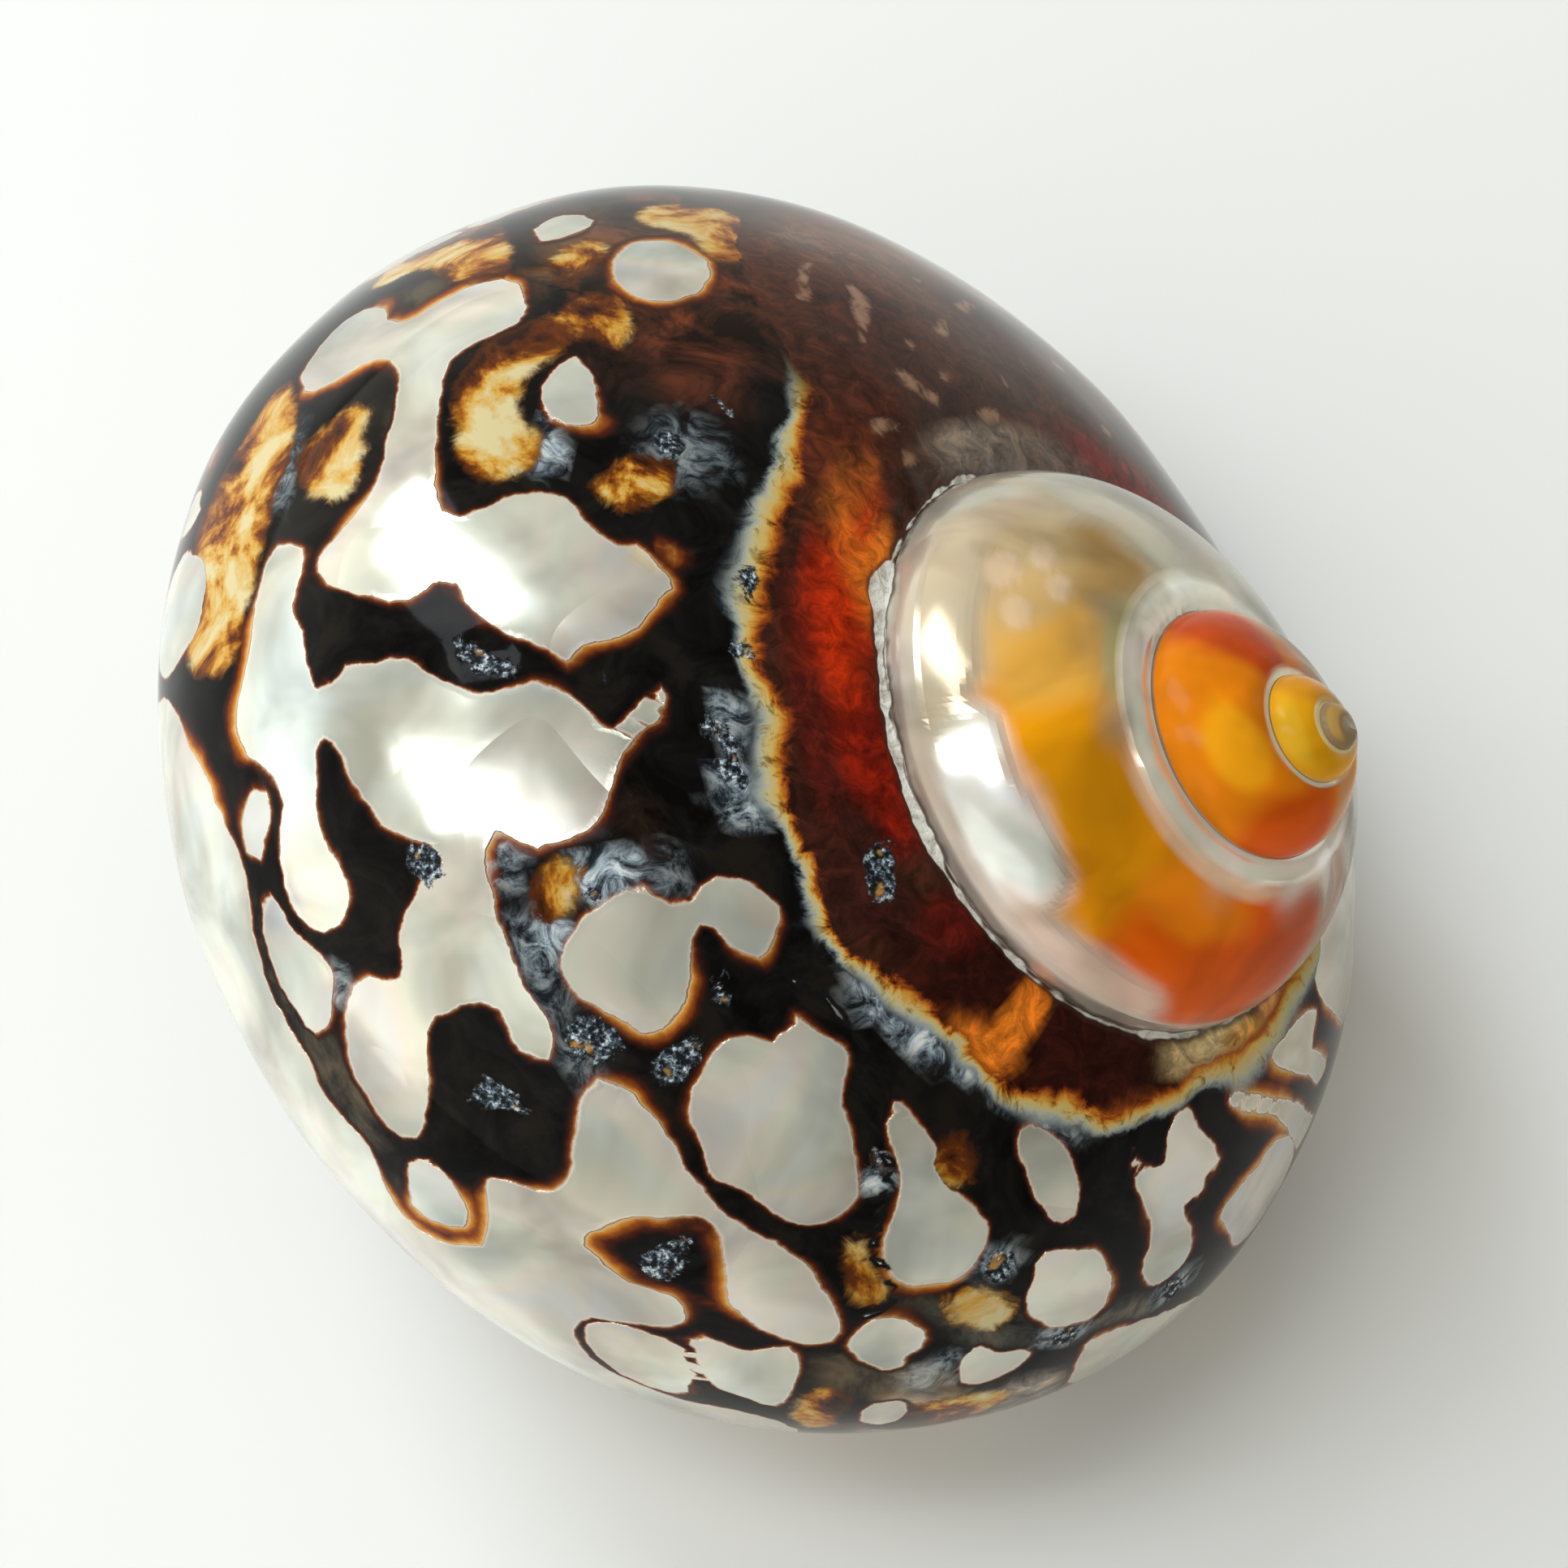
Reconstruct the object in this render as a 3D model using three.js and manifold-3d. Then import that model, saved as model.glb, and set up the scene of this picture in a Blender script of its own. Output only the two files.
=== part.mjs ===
// A turban shell: one hollow, coiled shell that rests on its mouth. Millimetres, +Z up.
// It is coiled with its apex at the origin and its axis along Z, base down, and is then turned onto
// its mouth. A coil angle counts degrees round the axis, clockwise as the apex is looked at, and all
// of the shell grows by the same share with each degree. A side is a direction round the tube that is
// coiled: 0 faces away from the axis, a quarter turn on it faces the base.
import * as THREE from "three";
import { mergeVertices } from "three/addons/utils/BufferGeometryUtils.js";
import Module from "manifold-3d";

const wasm = await Module();
wasm.setup();

// Driving dimensions
const tubeRadius = 24.3; // mean radius of the coiled tube at coil angle 0, near the mouth
const growthPerTurn = 2.335; // how many times larger everything is one turn further on
const lipAngle = 60; // coil angle where the shell ends
const spireAngle = -1380; // coil angle of the first whorl, at the tip of the spire
const restTilt = 45; // angle between the coil's axis and the floor
const restSpin = 59; // coil angle of the side that the shell is turned down onto

// Thicknesses, as shares of the tube's radius where they are
const wallShare = 0.095; // outer wall
const columellaShare = 0.2; // wall beside the axis
const glazeShare = 0.03; // layer laid on the whorl before, where that closes the tube

// Place and outline of the tube's section, for a tube of radius 1
const sectionOut = 0.975; // from the axis to the section's centre
const sectionDown = 1.932; // from the apex down to the section's centre
const outlineWaves = [
  { perTurn: 2, cosine: -0.045, sine: 0.051 },
  { perTurn: 3, cosine: 0.012, sine: 0.044 },
  { perTurn: 4, cosine: -0.01, sine: -0.03 },
];

// The core is a slim cone that makes the columella solid between one whorl and the next
const coreSlope = 0.24; // radius of the core for each millimetre below the apex
const coreDepth = 1.5 * tubeRadius;
const coreSides = 16;

// The hollow runs from beyond the lip to a rounded end inside
const openingAngle = 24; // how far it is cut beyond the lip
const hollowAngle = 312; // how far it reaches back from the lip
const roundingAngle = 60; // length of its rounded end

const sectionPoints = 30;
const stepAngle = 12;
const stretchAngle = 120; // a stretch of tube short enough not to meet itself
const weldDistance = 1e-3;
const radian = Math.PI / 180;

function growth(angle) {
  return growthPerTurn ** (angle / 360);
}

function outlineRadius(side) {
  let radius = 1;
  for (const { perTurn, cosine, sine } of outlineWaves) {
    radius += cosine * Math.cos(perTurn * side) + sine * Math.sin(perTurn * side);
  }
  return radius;
}

// A point of the tube's surface, moved in by an inset given as a share of the tube's radius.
function tubePoint(angle, side, inset) {
  const size = tubeRadius * growth(angle);
  const radius = outlineRadius(side) - inset;
  const out = size * (sectionOut + radius * Math.cos(side));
  const down = size * (sectionDown + radius * Math.sin(side));
  return [out * Math.cos(angle * radian), -out * Math.sin(angle * radian), -down];
}

function outerInset() {
  return 0;
}

function glazeInset() {
  return -glazeShare;
}

// The outer wall thickens to the columella, and the hollow narrows to nothing at its inner end.
function hollowInset(angle, side) {
  const nearAxis = ((1 - Math.cos(side)) / 2) ** 3;
  const wall = wallShare + (columellaShare - wallShare) * nearAxis;
  const fromEnd = Math.min(1, (angle - (lipAngle - hollowAngle)) / roundingAngle);
  const narrowing = 0.97 * (1 - Math.sqrt(fromEnd * (2 - fromEnd)));
  return wall + (1 - wall) * narrowing;
}

function solidFrom(positions, indices) {
  const geometry = new THREE.BufferGeometry();
  geometry.setAttribute("position", new THREE.Float32BufferAttribute(positions, 3));
  geometry.setIndex(indices);
  const welded = mergeVertices(geometry, weldDistance);
  return new wasm.Manifold(
    new wasm.Mesh({
      numProp: 3,
      vertProperties: welded.attributes.position.array,
      triVerts: new Uint32Array(welded.index.array),
    }),
  );
}

function geometryFrom(solid) {
  const { vertProperties, triVerts } = solid.getMesh();
  const geometry = new THREE.BufferGeometry();
  geometry.setAttribute("position", new THREE.BufferAttribute(vertProperties, 3));
  geometry.setIndex(new THREE.BufferAttribute(triVerts, 1));
  return geometry;
}

// Rings of points along the tube, and the middle of its first and last ring.
function stretchPositions(from, steps, insetAt) {
  const positions = [];
  const middles = [[0, 0, 0], [0, 0, 0]];
  for (let i = 0; i <= steps; i++) {
    const angle = from + i * stepAngle;
    for (let j = 0; j < sectionPoints; j++) {
      const side = (2 * Math.PI * j) / sectionPoints;
      const point = tubePoint(angle, side, insetAt(angle, side));
      positions.push(...point);
      for (let k = 0; k < 3; k++) {
        middles[0][k] += i === 0 ? point[k] / sectionPoints : 0;
        middles[1][k] += i === steps ? point[k] / sectionPoints : 0;
      }
    }
  }
  positions.push(...middles[0], ...middles[1]);
  return positions;
}

// A closed stretch of tube: a wall of triangles between the rings, and a fan over each end.
function tubeStretch(from, to, insetAt) {
  const steps = Math.round((to - from) / stepAngle);
  const positions = stretchPositions(from, steps, insetAt);
  const firstMiddle = (steps + 1) * sectionPoints;
  const lastRing = steps * sectionPoints;
  const indices = [];
  for (let j = 0; j < sectionPoints; j++) {
    const next = (j + 1) % sectionPoints;
    for (let i = 0; i < steps; i++) {
      const ring = i * sectionPoints;
      const nextRing = ring + sectionPoints;
      indices.push(ring + j, nextRing + j, ring + next);
      indices.push(ring + next, nextRing + j, nextRing + next);
    }
    indices.push(j, next, firstMiddle);
    indices.push(lastRing + next, lastRing + j, firstMiddle + 1);
  }
  return solidFrom(positions, indices);
}

// A tube of any length, joined from stretches whose rings all stand on whole steps.
function tube(from, to, insetAt) {
  let joined = tubeStretch(from, Math.min(to, from + stretchAngle), insetAt);
  for (let start = from + stretchAngle; start < to; start += stretchAngle) {
    joined = joined.add(tubeStretch(start, Math.min(to, start + stretchAngle), insetAt));
  }
  return joined;
}

// A slim cone down the axis, from just below the apex.
function coreSolid() {
  const profile = [
    new THREE.Vector2(0, -coreDepth),
    new THREE.Vector2(coreSlope * coreDepth, -coreDepth),
    new THREE.Vector2(0, -1),
  ];
  const cone = new THREE.LatheGeometry(profile, coreSides).rotateX(Math.PI / 2);
  return solidFrom([...cone.attributes.position.array], [...cone.index.array]);
}

// The room inside the last whorl, less the whorl before it, which closes the tube on its inner side.
function hollowSolid() {
  const end = lipAngle - hollowAngle;
  const opening = lipAngle + openingAngle;
  const room = tube(end, opening, hollowInset);
  const whorlBefore = tube(end - 360 - stepAngle, opening - 360 + stepAngle, glazeInset);
  return room.subtract(whorlBefore);
}

// Turns a solid from its coiling position onto its mouth.
function laidDown(solid) {
  const spun = new THREE.Matrix4().makeRotationZ(restSpin * radian);
  const tilted = new THREE.Matrix4().makeRotationY((90 - restTilt) * radian);
  return solid.transform(tilted.multiply(spun).elements);
}

// Height of the lowest point of the whorls before the mouth, which the floor touches.
function floorHeight() {
  const whorls = laidDown(tube(lipAngle - 660, lipAngle - 180, outerInset));
  return whorls.boundingBox().min[2];
}

function largestBody(solid) {
  const bodies = solid.decompose();
  bodies.sort((a, b) => b.volume() - a.volume());
  return bodies[0];
}

// The coil without its hollow, cut level with the floor so that the mouth has a flat lip.
function shellGeometry() {
  const floor = floorHeight();
  const coil = tube(spireAngle, lipAngle, outerInset).add(coreSolid());
  const shell = laidDown(coil.subtract(hollowSolid())).trimByPlane([0, 0, 1], floor);
  const rough = geometryFrom(shell);
  const clean = largestBody(solidFrom([...rough.attributes.position.array], [...rough.index.array]));
  const { min, max } = clean.boundingBox();
  return geometryFrom(clean).translate(-(min[0] + max[0]) / 2, -(min[1] + max[1]) / 2, -floor);
}

function shellMesh() {
  const lacquerAndPearl = new THREE.MeshStandardMaterial({ color: 0x7d766b, roughness: 0.14, metalness: 0 });
  const mesh = new THREE.Mesh(shellGeometry(), lacquerAndPearl);
  mesh.name = "shell";
  return mesh;
}

const turbanShell = new THREE.Group();
turbanShell.add(shellMesh());

export default turbanShell;
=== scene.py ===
import math
import random

import bmesh
import bpy
import numpy as np
from mathutils import Matrix, Vector, noise


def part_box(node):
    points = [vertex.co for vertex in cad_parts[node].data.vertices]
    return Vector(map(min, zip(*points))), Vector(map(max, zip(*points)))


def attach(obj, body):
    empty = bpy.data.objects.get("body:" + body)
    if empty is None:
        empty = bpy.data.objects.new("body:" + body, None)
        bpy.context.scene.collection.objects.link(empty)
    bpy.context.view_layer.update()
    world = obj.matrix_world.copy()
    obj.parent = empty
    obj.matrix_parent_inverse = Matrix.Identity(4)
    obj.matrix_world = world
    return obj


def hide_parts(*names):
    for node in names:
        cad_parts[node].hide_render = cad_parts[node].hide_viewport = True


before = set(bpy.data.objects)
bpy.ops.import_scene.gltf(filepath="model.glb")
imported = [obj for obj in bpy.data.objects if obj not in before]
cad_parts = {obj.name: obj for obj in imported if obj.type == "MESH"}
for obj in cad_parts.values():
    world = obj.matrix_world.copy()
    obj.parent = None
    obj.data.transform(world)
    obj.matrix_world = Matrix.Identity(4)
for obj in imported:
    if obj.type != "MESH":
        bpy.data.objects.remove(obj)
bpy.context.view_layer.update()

cadLow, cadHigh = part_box("shell")
print("frame loaded")

# The shell. Everything in it grows by the same share with each degree of the coil angle, which
# counts round the axis. A side is a direction round the tube: 0 faces away from the axis, and 90
# the base.
turban = {
    # form
    "tubeRadius": 0.0243,  # mean radius of the tube at coil angle 0
    "growthPerTurn": 2.335,
    "lipAngle": 60,
    "bodyAngle": -300,  # where the last whorl begins
    "tipAngle": -1740,
    "hollowEnd": -252,
    "hollowRounding": 60,  # degrees over which the hollow closes
    "sectionOut": 0.975,  # the section's centre, for a tube of radius 1
    "sectionDown": 1.932,
    "waves": ((2, -0.045, 0.051), (3, 0.012, 0.044), (4, -0.01, -0.03)),
    "wallShare": 0.095,
    "columellaShare": 0.2,
    "glazeShare": 0.03,
    "skinInset": 0.007,  # keeps the smooth surface within the faceted one's box
    "restTilt": 45,
    "restSpin": 59,
    "tipFromCorner": (0.0036955, 0.0442047, 0.0044659),  # from the box's high corner to the apex
    # mesh
    "stepAngle": 1.2,
    "hollowStep": 3,
    "hollowSides": 72,
    "spireParts": 36,  # faces between one seam and the next
    "innerSide": 180,  # the side next to the axis
    "axisSide": 200,  # stands for the axis itself, where the columella is solid
    "weldDistance": 2e-7,
    "tipReach": 0.0011,  # the open tip lies within this distance of the apex
    "tipShare": 0.55,
    # relief of the polished skin, in metres
    "swell": 0.00018,
    "swellScale": 110,
    "swellSize": 0.017,  # radius of the tube from which the swell is whole
    "ledge": 0.00026,
    "ledgeAt": 0.0008,  # from the seam
    "ledgeWander": 0.0003,
    "ledgeWidth": 0.0006,
    "ledgeScale": 620,
    "ledgeSize": 0.012,
    "groove": 0.00012,
    "stillSide": 176,  # nothing moves beyond it
    # windows that a seeded draw places where none is drawn, in degrees and millimetres
    "windowSeed": 11,
    "windowTries": 7000,
    "windowAngles": (-298, 56),
    "windowSides": (-66, 172),
    "windowRadius": (1.2, 4.2),
    "windowGap": (-1.1, 0.9),
    "windowCorners": 9,
    "windowJitter": 0.26,
    "windowStretch": 1.35,
    "keptClear": ((-262, -78, 24), (-222, -116, 60), (-95, -42, -8)),  # two angles, sides below
    "bandMargin": 10,
    "lipMargin": 19,
    "lipFrom": -60,
    "amberEvery": 9,
    "grainyEvery": 11,
    "grainyRadius": 1.6,
    # colours that the stains, and on the nacre the painted light and shade, lie on
    "bandBase": (0.040, 0.013, 0.007),
    "lacquerBase": (0.0045, 0.0042, 0.004),
    "pearlBase": (0.60, 0.58, 0.53),
    "liningColour": (0.72, 0.70, 0.66),
    # surface
    "edgeWobble": 0.11,  # millimetres
    "lacquerRoughness": 0.07,
    "pearlRoughness": 0.17,
    "chalkRoughness": 0.55,
    "pearlMetallic": 0.55,
    "specular": 0.07,
    "refraction": 1.5,
    "bumpStrength": 0.85,
    "bumpReach": 0.0002,  # metres
}

radian = math.pi / 180
farOff, deepInside = 9.0, -6.0  # distances in millimetres where no edge is near


def growthAt(angle):
    return turban["growthPerTurn"] ** (angle / 360)


def outlineRadius(side):
    radius = 1 - turban["skinInset"]
    for perTurn, cosine, sine in turban["waves"]:
        turn = perTurn * side * radian
        radius = radius + cosine * np.cos(turn) + sine * np.sin(turn)
    return radius


def sectionPoint(side, radius):
    # distance from the axis and depth below the apex, for a tube of radius 1
    out = turban["sectionOut"] + radius * np.cos(side * radian)
    down = turban["sectionDown"] + radius * np.sin(side * radian)
    return out, down


def coilPoint(angle, out, down):
    size = turban["tubeRadius"] * growthAt(angle)
    return np.stack([
        size * out * np.cos(angle * radian),
        -size * out * np.sin(angle * radian),
        -size * down,
    ], axis=-1)


def surfacePoint(angle, side):
    out, down = sectionPoint(side, outlineRadius(side))
    return coilPoint(angle, out, down)


def seamSides():
    # the side where a whorl starts, and the side of the whorl before that it starts on
    start, join = -97.0, 0.0
    grow = turban["growthPerTurn"]
    for _ in range(30):
        def gap(a, b):
            ao, ad = sectionPoint(a, outlineRadius(a))
            bo, bd = sectionPoint(b, outlineRadius(b))
            return np.array([bo - grow * ao, bd - grow * ad])
        # the later whorl is larger, so its seam, one turn on, meets this whorl's join
        here = gap(start, join)
        step = 1e-4
        slopes = np.column_stack([
            (gap(start + step, join) - here) / step,
            (gap(start, join + step) - here) / step,
        ])
        move = np.linalg.solve(slopes, -here)
        start, join = start + move[0], join + move[1]
    return start, join


seamSide, joinSide = seamSides()
print("seam at side %.2f, joined at side %.2f" % (seamSide, joinSide))


def rowMatrix():
    spun = Matrix.Rotation(turban["restSpin"] * radian, 4, "Z")
    tilted = Matrix.Rotation((90 - turban["restTilt"]) * radian, 4, "Y")
    apex = Vector(cadHigh) - Vector(turban["tipFromCorner"])
    return Matrix.Translation(apex) @ tilted @ spun


def gridSheet(bm, across, along, place):
    # a flat grid, laid onto the coil: place gives points, angles and sides for shares 0 to 1
    made = bmesh.ops.create_grid(bm, x_segments=across, y_segments=along, size=1)
    verts = made["verts"]
    flat = np.array([v.co for v in verts])
    low, high = flat.min(0), flat.max(0)
    u = (flat[:, 0] - low[0]) / (high[0] - low[0])
    v = (flat[:, 1] - low[1]) / (high[1] - low[1])
    points, angles, sides = place(u, v)
    angleLayer = bm.verts.layers.float["coilAngle"]
    sideLayer = bm.verts.layers.float["coilSide"]
    for vert, point, angle, side in zip(verts, points, angles, sides):
        vert.co = point
        vert[angleLayer] = angle
        vert[sideLayer] = side
    return verts


def spirePlace(u, v):
    angles = turban["tipAngle"] + u * (turban["bodyAngle"] - turban["tipAngle"])
    sides = seamSide + v * (joinSide - seamSide)
    return surfacePoint(angles, sides), angles, sides


def bodySides():
    # the first sides repeat the spire's, the rest go on to the inner side and then to the axis
    first = np.linspace(seamSide, joinSide, turban["spireParts"] + 1)
    pitch = first[1] - first[0]
    inner, axis = turban["innerSide"], turban["axisSide"]
    rest = np.linspace(joinSide, inner, round((inner - joinSide) / pitch) + 1)[1:]
    return np.concatenate([first, rest, [(inner + axis) / 2, axis]])


def bodyPlace(u, v):
    table = bodySides()
    angles = turban["bodyAngle"] + u * (turban["lipAngle"] - turban["bodyAngle"])
    sides = table[np.rint(v * (len(table) - 1)).astype(int)]
    inner, axis = turban["innerSide"], turban["axisSide"]
    out, down = sectionPoint(np.minimum(sides, inner), outlineRadius(np.minimum(sides, inner)))
    out = out * np.clip((axis - sides) / (axis - inner), 0, 1)
    return coilPoint(angles, out, down), angles, sides


def hollowRadius(side):
    # the inset outline, stopped short by the whorl before
    nearAxis = ((1 - np.cos(side * radian)) / 2) ** 3
    wall = turban["wallShare"] + (turban["columellaShare"] - turban["wallShare"]) * nearAxis
    full = outlineRadius(side) - wall
    grow = turban["growthPerTurn"]
    shares = np.linspace(0, 1, 400)[:, None]
    out, down = sectionPoint(side, full * shares)
    awayOut = out * grow - turban["sectionOut"]
    awayDown = down * grow - turban["sectionDown"]
    towards = np.degrees(np.arctan2(awayDown, awayOut))
    inBefore = np.hypot(awayOut, awayDown) < outlineRadius(towards) + turban["glazeShare"]
    firstHit = np.where(inBefore.any(0), inBefore.argmax(0), 399)
    return full * shares[firstHit, 0]


def hollowPlace(u, v):
    angles = turban["hollowEnd"] + u * (turban["lipAngle"] - turban["hollowEnd"])
    sides = v * 360
    fromEnd = np.minimum(1, (angles - turban["hollowEnd"]) / turban["hollowRounding"])
    opened = np.sqrt(fromEnd * (2 - fromEnd))
    out, down = sectionPoint(sides, hollowRadius(sides) * opened)
    return coilPoint(angles, out, down), angles, sides


# Pits in the polished surface: coil angle, side, and radius and depth in millimetres
pits = (
    (-162, -57, 0.7, 0.22), (-165.5, -45, 0.9, 0.25), (-160.6, -35, 0.7, 0.2), (-162, -14, 1, 0.25),
    (-126, -39, 0.8, 0.25), (-142.5, -20, 0.45, 0.3), (-123, -77, 0.5, 0.35), (-152, -89, 0.9, 0.4),
    (-153, -86, 0.6, 0.35), (-182, -22, 0.8, 0.22), (-148, -44, 0.9, 0.18), (-107, -11, 0.9, 0.2),
    (-208, -40, 0.7, 0.2), (-186, -58, 0.5, 0.2), (-114, -78, 0.6, 0.2),
)


def unevenness(points, scale):
    return np.array([noise.noise(Vector(p) * scale) for p in points])


def surfaceShift(points, angles, sides):
    # how far each point of the outer skin moves along its normal, in metres
    size = turban["tubeRadius"] * growthAt(angles)
    shift = np.zeros(len(points))
    swell = unevenness(points, turban["swellScale"])
    shift += turban["swell"] * swell * np.clip(size / turban["swellSize"], 0, 1)
    ragged = unevenness(points, turban["ledgeScale"])
    grown = np.clip(size / turban["ledgeSize"], 0.15, 1)
    fromSeam = (sides - seamSide) * radian * size
    fromLedge = fromSeam - turban["ledgeAt"] - turban["ledgeWander"] * ragged
    ledge = np.exp(-(fromLedge / turban["ledgeWidth"]) ** 2)
    shift += turban["ledge"] * ledge * grown * (0.8 + 0.9 * ragged)
    toJoin = (joinSide - sides) * radian * size
    onSpire = (sides < joinSide) * (angles < turban["bodyAngle"])
    shift -= turban["groove"] * np.exp(-(toJoin / turban["ledgeWidth"]) ** 2) * onSpire * grown
    for angle, side, radius, depth in pits:
        middle = surfacePoint(np.array([angle]), np.array([side]))[0]
        away = np.linalg.norm(points - middle, axis=1) * 1000
        dent = np.exp(-(away / radius) ** 4) * (0.75 + 0.6 * ragged)
        shift -= 0.001 * depth * dent
    return shift * (sides < turban["stillSide"])


def fillOpenEdges(bm):
    rim = [e for e in bm.edges if e.is_boundary]
    bmesh.ops.triangle_fill(bm, use_beauty=True, use_dissolve=False, edges=rim)


def shapeShell():
    bm = bmesh.new()
    bm.verts.layers.float.new("coilAngle")
    bm.verts.layers.float.new("coilSide")
    bm.verts.layers.float.new("inner")
    inner = bm.verts.layers.float["inner"]
    step = turban["stepAngle"]
    spireSteps = round((turban["bodyAngle"] - turban["tipAngle"]) / step)
    bodySteps = round((turban["lipAngle"] - turban["bodyAngle"]) / step)
    gridSheet(bm, spireSteps, turban["spireParts"], spirePlace)
    gridSheet(bm, bodySteps, len(bodySides()) - 1, bodyPlace)
    bmesh.ops.remove_doubles(bm, verts=bm.verts, dist=turban["weldDistance"])
    print("outer skin: %d faces" % len(bm.faces))

    # close the tip: its open edge is drawn in to one point
    rim = [e for e in bm.edges if e.is_boundary]
    rim = [e for e in rim if max(v.co.length for v in e.verts) < turban["tipReach"]]
    made = bmesh.ops.extrude_edge_only(bm, edges=rim)["geom"]
    crown = [g for g in made if isinstance(g, bmesh.types.BMVert)]
    top = Vector((0, 0, min(v.co.z for v in crown) * turban["tipShare"]))
    bmesh.ops.pointmerge(bm, verts=crown, merge_co=top)

    # the hollow, whose inner end closes to a point
    hollowSteps = round((turban["lipAngle"] - turban["hollowEnd"]) / turban["hollowStep"])
    made = gridSheet(bm, hollowSteps, turban["hollowSides"], hollowPlace)
    for vert in made:
        vert[inner] = 1
    bmesh.ops.remove_doubles(bm, verts=made, dist=turban["weldDistance"])

    # the end of the shell joins the skin to the hollow
    fillOpenEdges(bm)
    # a point that only two faces share is a flap folded flat against the skin, so it is drawn in
    flaps = [v for v in bm.verts if len(v.link_faces) == 2]
    for flap in flaps:
        shared = [e.other_vert(flap) for e in flap.link_edges]
        nearest = min(shared, key=lambda other: (other.co - flap.co).length)
        bmesh.ops.weld_verts(bm, targetmap={flap: nearest})
    print("flaps closed: %d" % len(flaps))
    bmesh.ops.recalc_face_normals(bm, faces=bm.faces)

    # swell, ledge, groove and pits, along the normals
    bm.normal_update()
    skin = [v for v in bm.verts if v[inner] == 0]
    angleLayer = bm.verts.layers.float["coilAngle"]
    sideLayer = bm.verts.layers.float["coilSide"]
    points = np.array([v.co for v in skin])
    angles = np.array([v[angleLayer] for v in skin])
    sides = np.array([v[sideLayer] for v in skin])
    for vert, shift in zip(skin, surfaceShift(points, angles, sides)):
        vert.co += vert.normal * shift

    # lay it down, and level the lip with the floor
    bmesh.ops.transform(bm, matrix=rowMatrix(), verts=bm.verts)
    floorLevel = Vector((0, 0, cadLow.z))
    everything = list(bm.verts) + list(bm.edges) + list(bm.faces)
    bmesh.ops.bisect_plane(bm, geom=everything, dist=1e-6, plane_co=floorLevel, plane_no=(0, 0, -1),
                           clear_outer=True)
    fillOpenEdges(bm)
    bmesh.ops.recalc_face_normals(bm, faces=bm.faces)
    openEdges = sum(1 for e in bm.edges if not e.is_manifold)
    print("shell: %d faces, %d open edges, volume %.2f cm3"
          % (len(bm.faces), openEdges, bm.calc_volume() * 1e6))
    return bm


shellMesh = bpy.data.meshes.new("turbanShell")
shellBmesh = shapeShell()
shellBmesh.to_mesh(shellMesh)
shellBmesh.free()

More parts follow.
